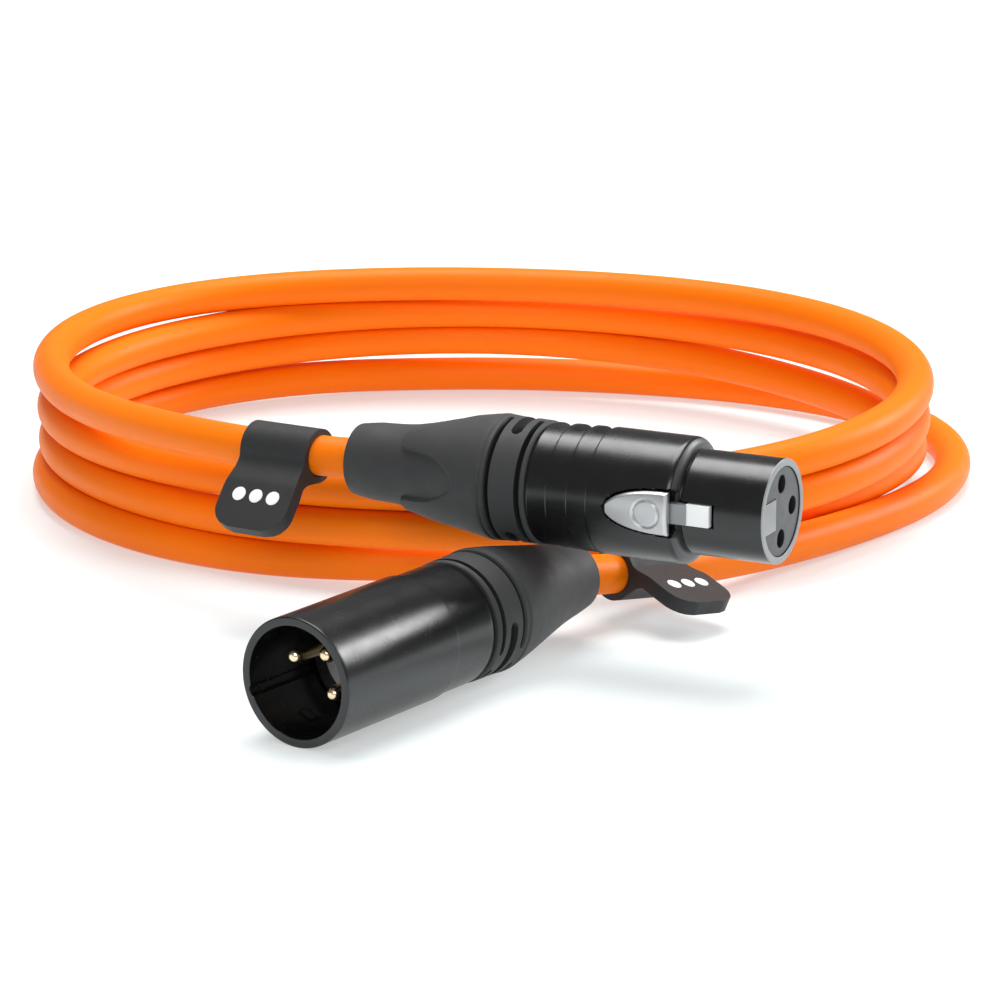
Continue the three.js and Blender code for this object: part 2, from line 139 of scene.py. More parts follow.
# ---------------------------------------------------------------- materials
def nodes_of(mat):
    mat.use_nodes = True
    nt = mat.node_tree
    for n in list(nt.nodes):
        nt.nodes.remove(n)
    out = nt.nodes.new("ShaderNodeOutputMaterial")
    bsdf = nt.nodes.new("ShaderNodeBsdfPrincipled")
    nt.links.new(bsdf.outputs["BSDF"], out.inputs["Surface"])
    return nt, bsdf


def finish_material(
    name,
    dark,
    light,
    rough=(0.4, 0.5),
    metallic=0.0,
    tone_scale=40.0,
    grain_scale=2500.0,
    grain=0.05,
    grain_distance=0.00003,
    coat=0.0,
    specular=0.5,
    sheen=0.0,
    scratches=0.0,
    subsurface=0.0,
    detail=4.0,
):
    """A moulded, painted or plated surface: slow tone drift, uneven roughness and a fine grain."""
    mat = bpy.data.materials.new(name)
    nt, bsdf = nodes_of(mat)
    new, link = nt.nodes.new, nt.links.new
    tc = new("ShaderNodeTexCoord")
    tone = new("ShaderNodeTexNoise")
    tone.inputs["Scale"].default_value = tone_scale
    tone.inputs["Detail"].default_value = detail
    link(tc.outputs["Object"], tone.inputs["Vector"])
    ramp = new("ShaderNodeValToRGB")
    ramp.color_ramp.elements[0].position = 0.32
    ramp.color_ramp.elements[1].position = 0.68
    ramp.color_ramp.elements[0].color = (*dark, 1)
    ramp.color_ramp.elements[1].color = (*light, 1)
    link(tone.outputs["Fac"], ramp.inputs["Fac"])
    link(ramp.outputs["Color"], bsdf.inputs["Base Color"])
    fine = new("ShaderNodeTexNoise")
    fine.inputs["Scale"].default_value = grain_scale
    fine.inputs["Detail"].default_value = 3.0
    link(tc.outputs["Object"], fine.inputs["Vector"])
    patch = new("ShaderNodeTexNoise")
    patch.inputs["Scale"].default_value = tone_scale * 6
    patch.inputs["Detail"].default_value = 5.0
    link(tc.outputs["Object"], patch.inputs["Vector"])
    rr = new("ShaderNodeMapRange")
    rr.inputs["From Min"].default_value = 0.3
    rr.inputs["From Max"].default_value = 0.7
    rr.inputs["To Min"].default_value = rough[0]
    rr.inputs["To Max"].default_value = rough[1]
    link(patch.outputs["Fac"], rr.inputs["Value"])
    link(rr.outputs["Result"], bsdf.inputs["Roughness"])
    height = fine.outputs["Fac"]
    if scratches:
        wave = new("ShaderNodeTexNoise")
        wave.inputs["Scale"].default_value = 900.0
        wave.inputs["Detail"].default_value = 2.0
        st = new("ShaderNodeMapping")
        st.inputs["Scale"].default_value = (0.06, 1.0, 1.0)
        link(tc.outputs["Object"], st.inputs["Vector"])
        link(st.outputs["Vector"], wave.inputs["Vector"])
        mix = new("ShaderNodeMix")
        mix.data_type = "FLOAT"
        mix.inputs[0].default_value = scratches
        link(fine.outputs["Fac"], mix.inputs[2])
        link(wave.outputs["Fac"], mix.inputs[3])
        height = mix.outputs[0]
    bump = new("ShaderNodeBump")
    bump.inputs["Strength"].default_value = grain
    bump.inputs["Distance"].default_value = grain_distance
    link(height, bump.inputs["Height"])
    link(bump.outputs["Normal"], bsdf.inputs["Normal"])
    bsdf.inputs["Metallic"].default_value = metallic
    bsdf.inputs["Specular IOR Level"].default_value = specular
    bsdf.inputs["Coat Weight"].default_value = coat
    bsdf.inputs["Coat Roughness"].default_value = 0.25
    bsdf.inputs["Sheen Weight"].default_value = sheen
    bsdf.inputs["Sheen Roughness"].default_value = 0.45
    if subsurface:
        bsdf.inputs["Subsurface Weight"].default_value = subsurface
        bsdf.inputs["Subsurface Radius"].default_value = (1.0, 0.35, 0.1)
        bsdf.inputs["Subsurface Scale"].default_value = 0.0008
    return mat


M = {
    "jacket": finish_material("jacket_orange", (0.94, 0.184, 0.0004), (0.97, 0.198, 0.0008), (0.42, 0.50), tone_scale=25, grain_scale=3200, grain=0.25, grain_distance=0.00002, specular=0.16),
    "shell_black": finish_material("shell_satin_black", (0.003, 0.003, 0.0032), (0.005, 0.005, 0.0053), (0.23, 0.28), tone_scale=60, grain_scale=5000, grain=0.25, grain_distance=0.00001, specular=0.62),
    "face_grey": finish_material("machined_grey", (0.26, 0.26, 0.265), (0.33, 0.33, 0.335), (0.40, 0.5), metallic=0.25, tone_scale=90, grain_scale=4000, grain=0.2, scratches=0.5),
    "boot_rubber": finish_material("boot_soft_grey", (0.031, 0.031, 0.032), (0.038, 0.038, 0.039), (0.58, 0.68), tone_scale=70, grain_scale=4200, grain=0.6, grain_distance=0.00003, specular=0.4, sheen=0.05),
    "clip_rubber": finish_material("clip_rubber_black", (0.016, 0.016, 0.017), (0.022, 0.022, 0.023), (0.55, 0.66), tone_scale=80, grain_scale=3800, grain=0.5, grain_distance=0.00003, specular=0.4, sheen=0.04),
    "white_print": finish_material("white_print", (0.86, 0.86, 0.85), (0.92, 0.92, 0.91), (0.5, 0.6), tone_scale=300, grain_scale=5000, grain=0.2),
    "insert_grey": finish_material("insert_grey", (0.085, 0.086, 0.09), (0.105, 0.106, 0.11), (0.45, 0.55), tone_scale=120, grain_scale=4000, grain=0.3, specular=0.4),
    "insert_black": finish_material("insert_black", (0.008, 0.008, 0.008), (0.012, 0.012, 0.012), (0.4, 0.55), tone_scale=120, grain_scale=4000, grain=0.4),
    "contact_gold": finish_material("contact_plated", (0.80, 0.62, 0.38), (0.92, 0.78, 0.55), (0.16, 0.26), metallic=1.0, tone_scale=260, grain_scale=5000, grain=0.15, scratches=0.3),
    # light grey copy of the black insert plastic for the male insert's face: painted light
    "insert_face_painted_light": finish_material("insert_face_painted_light", (0.40, 0.395, 0.39), (0.46, 0.455, 0.45), (0.45, 0.55), tone_scale=120, grain_scale=4000, grain=0.3, specular=0.4),
    # lighter copy of the shell black for the body's front chamfer: painted reflection
    "shell_chamfer_painted_reflection": finish_material("shell_chamfer_painted_reflection", (0.045, 0.045, 0.046), (0.06, 0.06, 0.061), (0.35, 0.42), tone_scale=90, grain_scale=4000, grain=0.2, scratches=0.3),
    # darkened copy of the gold plating for the socket contacts: painted shade for the holes they sit in
    "socket_painted_shade": finish_material("socket_painted_shade", (0.05, 0.035, 0.015), (0.08, 0.055, 0.025), (0.35, 0.5), metallic=1.0, tone_scale=260, scratches=0.3),
    # darker grey copy of the latch metal for the neck under the plate: painted shade
    "latch_neck_painted_shade": finish_material("latch_neck_painted_shade", (0.24, 0.24, 0.245), (0.30, 0.30, 0.305), (0.35, 0.45), metallic=0.4, tone_scale=160, grain_scale=4500, grain=0.3, scratches=0.5),
    # near-white copy of the latch metal for the hook: painted highlight
    "latch_hook_painted_highlight": finish_material("latch_hook_painted_highlight_white", (0.88, 0.88, 0.88), (0.94, 0.94, 0.94), (0.3, 0.4), tone_scale=160, grain_scale=4500, grain=0.25),
    "bright_metal": finish_material("latch_satin_nickel", (0.52, 0.52, 0.53), (0.62, 0.62, 0.63), (0.28, 0.38), metallic=0.85, tone_scale=160, grain_scale=4500, grain=0.35, scratches=0.6),
    "sleeve_metal": finish_material("sleeve_metal", (0.10, 0.10, 0.105), (0.16, 0.16, 0.165), (0.35, 0.5), metallic=1.0, tone_scale=150, scratches=0.5),
    "chuck_white": finish_material("chuck_white", (0.62, 0.61, 0.58), (0.70, 0.69, 0.66), (0.45, 0.6), tone_scale=120),
    "braid": finish_material("braid_tinned", (0.35, 0.35, 0.34), (0.6, 0.6, 0.58), (0.3, 0.5), metallic=1.0, tone_scale=2500, scratches=0.5),
    "core_red": finish_material("core_red", (0.42, 0.03, 0.02), (0.5, 0.04, 0.03), (0.4, 0.5), tone_scale=120),
    "core_white": finish_material("core_white", (0.7, 0.69, 0.66), (0.78, 0.77, 0.74), (0.4, 0.5), tone_scale=120),
    # near-black painted shade for the insides of grooves, slots, pockets and holes
    "recess_painted_shade": finish_material("recess_painted_shade", (0.004, 0.004, 0.004), (0.006, 0.006, 0.006), (0.7, 0.8), tone_scale=120),
}

slots = {s["node"]: s["material_slot"] for s in frame["record"]["subparts"]}
for name, o in frame["nodes"].items():
    m = M.get(slots.get(name, ""), M["shell_black"])
    # the socket contacts get the darkened gold copy: painted shade
    if name.startswith("female_socket"):
        m = M["socket_painted_shade"]
    if not o.material_slots:
        o.data.materials.append(m)
    for ms in o.material_slots:
        ms.material = m


# ---------------------------------------------------------------- mesh helpers
def build(name, verts, faces, frame_m=None, mats=(), mat_index=None, sharp=35.0, body=ROOT, stands_for=(), recalc=True):
    """verts in mm in the frame of frame_m; returns the object in metres, in the row frame."""
    me = bpy.data.meshes.new(name)
    v = np.asarray(verts, float)
    if frame_m is not None:
        a = np.array(frame_m)
        v = v @ a[:3, :3].T + a[:3, 3]
    me.from_pydata((v * MM).tolist(), [], [list(map(int, f)) for f in faces])
    me.validate()
    for m in mats:
        me.materials.append(M[m])
    if mat_index is not None:
        me.polygons.foreach_set("material_index", np.asarray(mat_index, np.int32)[: len(me.polygons)])
    if recalc:
        bm = bmesh.new()
        bm.from_mesh(me)
        bmesh.ops.recalc_face_normals(bm, faces=bm.faces)
        bm.to_mesh(me)
        bm.free()
    me.shade_smooth()
    me.set_sharp_from_angle(angle=rad(sharp))
    o = bpy.data.objects.new(name, me)
    scene.collection.objects.link(o)
    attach(o, body)
    if stands_for:
        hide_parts(*([stands_for] if isinstance(stands_for, str) else stands_for))
    return o


def rounded(points, seg=5):
    """Corner points (r, z, fillet) to a polyline whose corners are eased by their fillet."""
    p = [np.array(q[:2], float) for q in points]
    f = [q[2] if len(q) > 2 else 0.0 for q in points]
    out = []
    n = len(p)
    for i in range(n):
        if f[i] <= 0 or i in (0, n - 1):
            out.append(p[i])
            continue
        a, b = p[i - 1] - p[i], p[i + 1] - p[i]
        la, lb = np.linalg.norm(a), np.linalg.norm(b)
        d = min(f[i], 0.49 * la, 0.49 * lb)
        A, B = p[i] + a / la * d, p[i] + b / lb * d
        for k in range(seg + 1):
            t = k / seg
            out.append((1 - t) ** 2 * A + 2 * t * (1 - t) * p[i] + t * t * B)
    return out


def dense(points, step):
    out = [points[0]]
    for a, b in zip(points[:-1], points[1:]):
        n = max(1, int(math.ceil(np.linalg.norm(b - a) / step)))
        for k in range(1, n + 1):
            out.append(a + (b - a) * k / n)
    return out


def revolve(profile, n=128, field=None, step=None, face_mat=None):
    """Round body about local z. profile runs from axis to axis, or is a ring that closes on itself. field(theta, r, z) gives the radius."""
    pr = rounded(profile)
    if step:
        pr = dense(pr, step)
    clean = [pr[0]]
    for q in pr[1:]:
        if np.linalg.norm(q - clean[-1]) > 1e-6:
            clean.append(q)
    pr = np.array(clean)
    on_axis = pr[0, 0] < 1e-6 and pr[-1, 0] < 1e-6
    if not on_axis and np.linalg.norm(pr[0] - pr[-1]) < 1e-6:
        pr = pr[:-1]
    th = np.linspace(0, 2 * np.pi, n, endpoint=False)
    rows, verts = [], []
    body = pr[1:-1] if on_axis else pr
    for r, z in body:
        R = np.full(n, r)
        if field is not None:
            R = field(th, R, z)
        rows.append(len(verts))
        verts.extend(np.stack([R * np.cos(th), R * np.sin(th), np.full(n, z)], 1).tolist())
    faces, mi = [], []
    m = len(body)
    pairs = [(i, i + 1) for i in range(m - 1)] + ([] if on_axis else [(m - 1, 0)])
    for i, j in pairs:
        a, b = rows[i], rows[j]
        zi, ri = (body[i][1] + body[j][1]) / 2, (body[i][0] + body[j][0]) / 2
        k = face_mat(ri, zi, body[i], body[j]) if face_mat else 0
        for t in range(n):
            u = (t + 1) % n
            faces.append((a + t, a + u, b + u, b + t))
            mi.append(k)
    if on_axis:
        s = len(verts)
        verts.append([0, 0, pr[0, 1]])
        verts.append([0, 0, pr[-1, 1]])
        for t in range(n):
            u = (t + 1) % n
            faces.append((s, rows[0] + u, rows[0] + t))
            mi.append(face_mat(0, pr[0, 1], body[0], body[0]) if face_mat else 0)
            faces.append((s + 1, rows[-1] + t, rows[-1] + u))
            mi.append(face_mat(0, pr[-1, 1], body[-1], body[-1]) if face_mat else 0)
    return verts, faces, mi


def smooth(x, a, b):
    t = np.clip((x - a) / (b - a), 0, 1)
    return t * t * (3 - 2 * t)


def angle_off(th, centre):
    return (th - rad(centre) + np.pi) % (2 * np.pi) - np.pi


# ---------------------------------------------------------------- the cable
def spline(points, step=1.3):
    """Natural cubic spline through the points by chord length, sampled evenly."""
    P = np.array(points, float)
    t = np.concatenate([[0], np.cumsum(np.linalg.norm(np.diff(P, axis=0), axis=1))])
    n = len(P)
    h = np.diff(t)
    A = np.zeros((n, n))
    B = np.zeros((n, 3))
    A[0, 0] = A[-1, -1] = 1
    for i in range(1, n - 1):
        A[i, i - 1], A[i, i], A[i, i + 1] = h[i - 1], 2 * (h[i - 1] + h[i]), h[i]
        B[i] = 6 * ((P[i + 1] - P[i]) / h[i] - (P[i] - P[i - 1]) / h[i - 1])
    S = np.linalg.solve(A, B)
    q = np.linspace(0, t[-1], int(t[-1] / step) + 1)
    k = np.clip(np.searchsorted(t, q, side="right") - 1, 0, n - 2)
    a, b, hh = (t[k + 1] - q)[:, None], (q - t[k])[:, None], h[k][:, None]
    return (S[k] * a**3 + S[k + 1] * b**3) / (6 * hh) + (P[k] / hh - S[k] * hh / 6) * a + (P[k + 1] / hh - S[k + 1] * hh / 6) * b


def tube(path, r, n=36, caps=True):
    P = np.array(path, float)
    T = np.gradient(P, axis=0)
    T /= np.linalg.norm(T, axis=1)[:, None]
    U = np.zeros_like(P)
    u = np.cross(T[0], [0, 0, 1.0])
    U[0] = u / np.linalg.norm(u)
    for i in range(1, len(P)):
        u = U[i - 1] - T[i] * (U[i - 1] @ T[i])
        U[i] = u / np.linalg.norm(u)
    V = np.cross(T, U)
    a = np.linspace(0, 2 * np.pi, n, endpoint=False)
    ring = P[:, None, :] + r * (np.cos(a)[None, :, None] * U[:, None, :] + np.sin(a)[None, :, None] * V[:, None, :])
    verts = ring.reshape(-1, 3).tolist()
    faces = []
    for i in range(len(P) - 1):
        for k in range(n):
            l = (k + 1) % n
            faces.append((i * n + k, i * n + l, (i + 1) * n + l, (i + 1) * n + k))
    if caps:
        s = len(verts)
        verts += [P[0].tolist(), P[-1].tolist()]
        e = (len(P) - 1) * n
        for k in range(n):
            l = (k + 1) % n
            faces.append((s, l, k))
            faces.append((s + 1, e + k, e + l))
    return verts, faces


inside_f = [place(FEM, (0, 0, z)) for z in (FEMALE_LENGTH - 12, FEMALE_LENGTH - 7, FEMALE_LENGTH - 2)]
inside_m = [place(MAL, (0, 0, z)) for z in (MALE_LENGTH - 2, MALE_LENGTH - 7, MALE_LENGTH - 12)]
CENTRE = spline(inside_f + ROUTE + inside_m)
v, f = tube(CENTRE, CABLE_R)
cable = build("cable", v, f, mats=["jacket"], sharp=60, stands_for=("cable_coil", "cable_tail_female", "cable_tail_male"))


# ---------------------------------------------------------------- boots
REST_U = (11.9, 12.2, 12.7, 13.3, 14.5, 16.6, 19.2, 21.6, 22.2, 22.6)
REST_HALF = (-2, 3, 8, 12, 17.5, 25, 30, 32.5, 35, 46)


def boot(name, frame_m, shell_end, length, body, node, arcs_at, rests):
    b0 = shell_end + 0.3
    prof = [
        (7.5, b0, 0.1),
        (9.08, b0, 0.25),
        (9.33, b0 + 0.5, 0.2),
        (9.4, b0 + 5.5, 0.5),
        (9.53, b0 + 7.2, 0.6),
        (9.62, b0 + 7.9, 0.8),
        (8.95, b0 + 12, 2.0),
        (8.08, b0 + 16.2, 2.0),
        (7.18, b0 + 20.6, 2.0),
        (6.45, b0 + 24.3, 2.0),
        (5.85, length - 2.5, 1.2),
        (5.45, length, 0.4),
        (4.3, length, 0.3),
        (3.5, length - 5, 0.5),
        (3.5, b0 + 13, 0.0),
        (7.5, b0 + 10, 0.0),
        (7.5, b0, 0.1),
    ]
    z_mid = b0 + 3.7

    def field(th, R, z):
        r0 = R[0]
        if r0 < 5.2 or (r0 < 7.8 and z < b0 + 14) or (z > b0 + 9.8 and r0 < 4.6):
            return R
        R = R.copy()
        d = np.zeros_like(R)
        for c in (arcs_at, arcs_at + 180):
            # two narrow grooves over one half, a wide slot between them over the gap
            off = np.abs(angle_off(th, c)) * r0
            reach = rad(80) * r0 - 0.3
            for gz in (b0 + 1.15, b0 + 6.2):
                q = np.hypot(np.maximum(off - reach, 0), z - gz)
                d = np.maximum(d, 1.25 * (1 - smooth(q, 0.28, 0.42)))
            off = np.abs(angle_off(th, c + 90)) * r0
            reach = rad(37) * r0 - 0.7
            q = np.hypot(np.maximum(off - reach, 0), z - z_mid)
            d = np.maximum(d, 1.7 * (1 - smooth(q, 0.66, 0.82)))
        # fine lip where the cone starts
        d = np.maximum(d, 0.12 * (1 - smooth(np.array(abs(z - (b0 + 7.45))), 0.06, 0.22)) * np.ones_like(R))
        if rests and z > b0 + 11.9 and r0 > 5.2:
            # thumb rests: the skin between them stands proud of four U-shaped flats that run out to the rear
            half = np.degrees(np.min([np.abs(angle_off(th, c)) for c in rests], axis=0))
            u = z - b0
            wide = float(np.interp(u, REST_U, REST_HALF)) if u < 22.6 else 60.0
            inside = smooth(wide - half, -0.5, 0.7) if u < 22.6 else np.ones_like(R)
            proud = 0.40 * float(smooth(np.array(u), 11.9, 19.5))
            low = float(np.interp(u, (12.1, 12.4, 17.0, 22.6, 29.0), (0.0, 0.16, 0.40, 0.40, 0.0)))
            d = d - proud * (1 - inside) * float(1 - smooth(np.array(u), 22.55, 22.9)) + low * inside
        return R - d

    v, f, mi = revolve(prof, n=360, field=field, step=0.15)
    va, mi = np.asarray(v), [0] * len(f)
    for i, face in enumerate(f):
        c = va[list(face)].mean(0)
        # faces inside the grooves and slots get the near-black painted shade
        if b0 + 0.5 < c[2] < b0 + 7.2 and 7.6 < math.hypot(c[0], c[1]) < 8.75:
            mi[i] = 1  # inside the grooves and slots
    return build(name, v, f, frame_m, mats=["boot_rubber", "recess_painted_shade"], mat_index=mi, sharp=40, body=body, stands_for=node)


female_boot = boot("female_boot_skin", FEM, FEMALE_SHELL_END, FEMALE_LENGTH, "female_boot_body", "female_boot", 8, (3, 93, 183, 273))
male_boot = boot("male_boot_skin", MAL, MALE_SHELL_END, MALE_LENGTH, "male_boot_body", "male_boot", 123, ())


# ---------------------------------------------------------------- pin connector
def male_field(th, R, z):
    r0 = R[0]
    R = R.copy()
    if abs(r0 - 8.2) < 0.35 and z < 17:
        # window for the mating latch, and a mould line down the wall
        off = np.abs(angle_off(th, 180 - 242)) * r0
        w = 0.5 * (1 - smooth(off, 1.2, 1.4)) * float(smooth(np.array(z), 6.6, 6.8) * (1 - smooth(np.array(z), 8.6, 8.8)))
        off2 = np.abs(angle_off(th, 180 - 198)) * r0
        R = R + 0.5 * w + 0.35 * (1 - smooth(off2, 0.55, 0.75))
    return R


v, f, mi = revolve(
    [(8.2, 0.3, 0), (8.2, 0.0, 0.2), (9.5, 0, 0.25), (9.5, 26.1, 0.12), (9.2, 26.3, 0.1), (9.2, 34.75, 0.2), (8.75, 35.55, 0.15), (8.65, 35.9, 0.1), (7.6, 35.9, 0.1), (7.6, 25, 0.1), (8.2, 24.5, 0), (8.2, 0.3, 0)],
    n=192, field=male_field, step=0.5)
male_shell = build("male_shell_skin", v, f, MAL, mats=["shell_black"], sharp=32, stands_for="male_shell")

PINS = (147, 57, -31)


def on_circle(deg, r=CONTACT_R):
    return -r * math.cos(rad(deg)), r * math.sin(rad(deg))


for i, d in enumerate(PINS):
    x, y = on_circle(d)
    v, f, mi = revolve([(0, 3.5), (0.5, 3.52, 0.3), (0.95, 3.85, 0.35), (1.18, 4.5, 0.5), (1.2, 5.4, 0.5), (1.2, 26.9, 0.05), (0, 27)], n=40, step=0.6)
    v = (np.array(v) + [x, y, 0]).tolist()
    build(f"male_pin_{i + 1}_turned", v, f, MAL, mats=["contact_gold"], sharp=40, stands_for=f"male_pin_{i + 1}")

# Insert: a bored moulded disc, and a thinner bored disc on its face round the pins
def bored_disc(name, R, z0, z1, holes, hole_r, mats, node, slot, notch=None, edge=0.2, collar=None):
    """A moulded disc with round holes, and a straight-sided keyway where notch is (x from, half width)."""
    bm = bmesh.new()
    n = 96
    outline = []
    for k in range(n):
        a = 2 * math.pi * k / n
        outline.append((R * math.cos(a), R * math.sin(a)))
    if notch:
        x0, hw = notch
        pts = [p for p in outline if not (p[0] > x0 and abs(p[1]) < hw)]
        xe = math.sqrt(R * R - hw * hw)
        pos = [p for p in pts]
        pos.sort(key=lambda p: math.atan2(p[1], p[0]) % (2 * math.pi))
        outline = [(xe, hw)] + pos + [(xe, -hw), (x0, -hw), (x0, hw)]
    loops = [outline]
    for (hx, hy) in holes:
        m = 40
        loops.append([(hx + hole_r * math.cos(-2 * math.pi * k / m), hy + hole_r * math.sin(-2 * math.pi * k / m)) for k in range(m)])
    edges = []
    for lp in loops:
        vs = [bm.verts.new((px, py, z0)) for px, py in lp]
        edges += [bm.edges.new((vs[k], vs[(k + 1) % len(vs)])) for k in range(len(vs))]
    bmesh.ops.triangle_fill(bm, use_beauty=True, use_dissolve=False, edges=edges)
    top = bmesh.ops.extrude_face_region(bm, geom=bm.faces[:])
    bmesh.ops.translate(bm, vec=(0, 0, z1 - z0), verts=[g for g in top["geom"] if isinstance(g, bmesh.types.BMVert)])
    bmesh.ops.recalc_face_normals(bm, faces=bm.faces)
    rim = [e for e in bm.edges if len(e.link_faces) == 2 and abs(e.verts[0].co.z - z0) < 1e-6 and abs(e.verts[1].co.z - z0) < 1e-6 and e.calc_face_angle(0) > 1.0]
    if edge:
        bmesh.ops.bevel(bm, geom=rim, offset=edge, segments=3, profile=0.6, affect="EDGES")
    verts = [tuple(q.co) for q in bm.verts]
    bm.verts.index_update()
    faces = [[q.index for q in face.verts] for face in bm.faces]
    bm.free()
    return verts, faces


v, f = bored_disc("male_insert_moulded", 7.9, 14.35, 22.0, [on_circle(d) for d in PINS], 1.45, None, None, None, edge=0.2)
build("male_insert_moulded", v, f, MAL, mats=["insert_black"], sharp=30, stands_for="male_insert")
# the face disc is painted light grey to stand in for light falling on the black insert's face
v, f = bored_disc("male_insert_face", 5.45, 13.85, 14.7, [on_circle(d) for d in PINS], 1.3, None, None, None, edge=0.12)
build("male_insert_face", v, f, MAL, mats=["insert_face_painted_light"], sharp=30)

# Ground spring: a bowed leaf on the wall of the cup
lv, lf = [], []
for i in range(25):
    z = 7.2 + i * 0.26
    bow = 0.5 * math.sin(math.pi * i / 24) ** 2
    for j in range(9):
        y = -1.7 + j * 3.4 / 8
        for k, t in enumerate((0.0, 0.28)):
            lv.append((7.75 - bow - t, y, z))
def leaf_faces(ni, nj):
    F = []
    idx = lambda i, j, k: (i * nj + j) * 2 + k
    for i in range(ni - 1):
        for j in range(nj - 1):
            F.append((idx(i, j, 0), idx(i + 1, j, 0), idx(i + 1, j + 1, 0), idx(i, j + 1, 0)))
            F.append((idx(i, j, 1), idx(i, j + 1, 1), idx(i + 1, j + 1, 1), idx(i + 1, j, 1)))
    for i in range(ni - 1):
        F.append((idx(i, 0, 0), idx(i, 0, 1), idx(i + 1, 0, 1), idx(i + 1, 0, 0)))
        F.append((idx(i, nj - 1, 0), idx(i + 1, nj - 1, 0), idx(i + 1, nj - 1, 1), idx(i, nj - 1, 1)))
    for j in range(nj - 1):
        F.append((idx(0, j, 0), idx(0, j + 1, 0), idx(0, j + 1, 1), idx(0, j, 1)))
        F.append((idx(ni - 1, j, 0), idx(ni - 1, j, 1), idx(ni - 1, j + 1, 1), idx(ni - 1, j + 1, 0)))
    return F


c, s = math.cos(rad(163)), math.sin(rad(163))
lv = [(x * c - y * s, x * s + y * c, z) for x, y, z in lv]
build("male_ground_leaf", lv, leaf_faces(25, 9), MAL, mats=["bright_metal"], sharp=40, stands_for="male_ground_spring")


# ---------------------------------------------------------------- socket connector
def latch_outline(s):
    """Half width of the thumb plate at station z."""
    t = np.clip((24.2 - s) / (24.2 - 14.2), 0, 1)
    return 3.4 * np.sqrt(1 - (1 - t) ** 2.15) * (1 - 0.05 * t)


def female_field(th, R, z):
    r0 = R[0]
    if r0 < 6.95:
        return R
    R = R.copy()
    y = r0 * np.sin(angle_off(th, 0))
    front = np.cos(th) > 0.5
    # window in the nose and body for the latch
    if 7.5 < z < 13.6 and 7.0 < r0 < 8.0:
        w = (1 - smooth(np.abs(y), 1.62, 1.74)) * front * float(smooth(np.array(z), 7.68, 7.8))
        R = R - w * np.maximum(0, R - 6.8)
    if z > 13.2 and z < 24.7 and r0 > 8.0:
        hw = (float(latch_outline(z - 0.2)) if z < 24.4 else 0.0) + 0.2
        if z < 14.4:
            hw = 3.6
        w = (1 - smooth(np.abs(y), hw - 0.04, hw + 0.08)) * front
        R = R - w * np.maximum(0, R - 7.25)
        if z < 15.3:
            w = (1 - smooth(np.abs(y), 1.62, 1.74)) * front
            R = R - w * np.maximum(0, R - 6.8)
    # three pockets on the top and three under it near the rear
    if z > 27.2 and r0 > 8.6:
        for z0, z1 in ((27.55, 29.55), (30.7, 32.95), (34.05, 36.4)):
            e = float(smooth(np.array(z), z0 - 0.06, z0 + 0.06) * (1 - smooth(np.array(z), z1 - 0.06, z1 + 0.06)))
            for c in (100, 260):
                off = np.abs(angle_off(th, c)) * r0
                w = e * (1 - smooth(off, 3.7, 3.82))
                R = R - w * np.maximum(0, R - 8.3)
    return R


def female_faces(r, z, a, b):
    if z < 0.22 and r > 6.7:
        return 1
    # the front chamfer ring gets the lighter copy of the shell black: painted reflection
    if 13.3 < z < 14.02 and 7.3 < r < 9.45:
        return 2
    return 0


prof = [
    (6.7, 0.4, 0), (6.7, 0.0, 0.1), (7.8, 0.0, 0.16), (7.8, 12.75, 0.1), (7.2, 12.85, 0.1), (7.2, 13.4, 0.1), (8.45, 13.4, 0.5), (9.5, 14.15, 0.7),
    (9.5, 27.33, 0.06), (9.4, 27.47, 0.05), (9.4, 30.53, 0.06), (9.3, 30.67, 0.05), (9.3, 33.93, 0.06), (9.2, 34.07, 0.05),
    (9.2, 37.3, 0.25), (7.6, 37.3, 0.1), (7.6, 27, 0), (6.7, 26, 0), (6.7, 0.4, 0)]
v, f, mi = revolve(prof, n=320, field=female_field, step=0.17, face_mat=female_faces)
va = np.asarray(v)
for i, face in enumerate(f):
    c = va[list(face)].mean(0)
    # faces inside the pockets get the near-black painted shade
    if 27.4 < c[2] < 36.6 and 8.0 < math.hypot(c[0], c[1]) < 9.0:
        mi[i] = 3  # inside the pockets
    # the latch's window goes right through the wall
    if c[0] > 0 and abs(c[1]) < 1.63 and 7.72 < c[2] < 15.3 and math.hypot(c[0], c[1]) < 6.95:
        mi[i] = -1
f, mi = [q for q, k in zip(f, mi) if k >= 0], [k for k in mi if k >= 0]
# the third material, a lighter copy of the shell black on the front chamfer, is painted reflection
female_shell = build("female_shell_skin", v, f, FEM, mats=["shell_black", "face_grey", "shell_chamfer_painted_reflection", "recess_painted_shade"], mat_index=mi, sharp=32, stands_for="female_shell")

SOCKETS = (90, 0, -90)
v, f = bored_disc("female_insert_moulded", 6.64, 0.22, 22.0, [on_circle(d) for d in SOCKETS], 1.4, None, None, None, notch=(2.25, 2.44), edge=0.1)
def bore_faces(v, f, holes, hole_r, z0):
    """1 for the faces inside the holes, deeper than the edge's rounding; these get the near-black painted shade."""
    out = []
    for face in f:
        c = np.mean([v[k] for k in face], axis=0)
        out.append(int(c[2] > z0 + 0.15 and any(math.hypot(c[0] - hx, c[1] - hy) < hole_r + 0.05 for hx, hy in holes)))
    return out


# faces inside the socket holes get the near-black painted shade
build("female_insert_moulded", v, f, FEM, mats=["insert_grey", "recess_painted_shade"], mat_index=bore_faces(v, f, [on_circle(d) for d in SOCKETS], 1.4, 0.22), sharp=30, stands_for="female_insert")


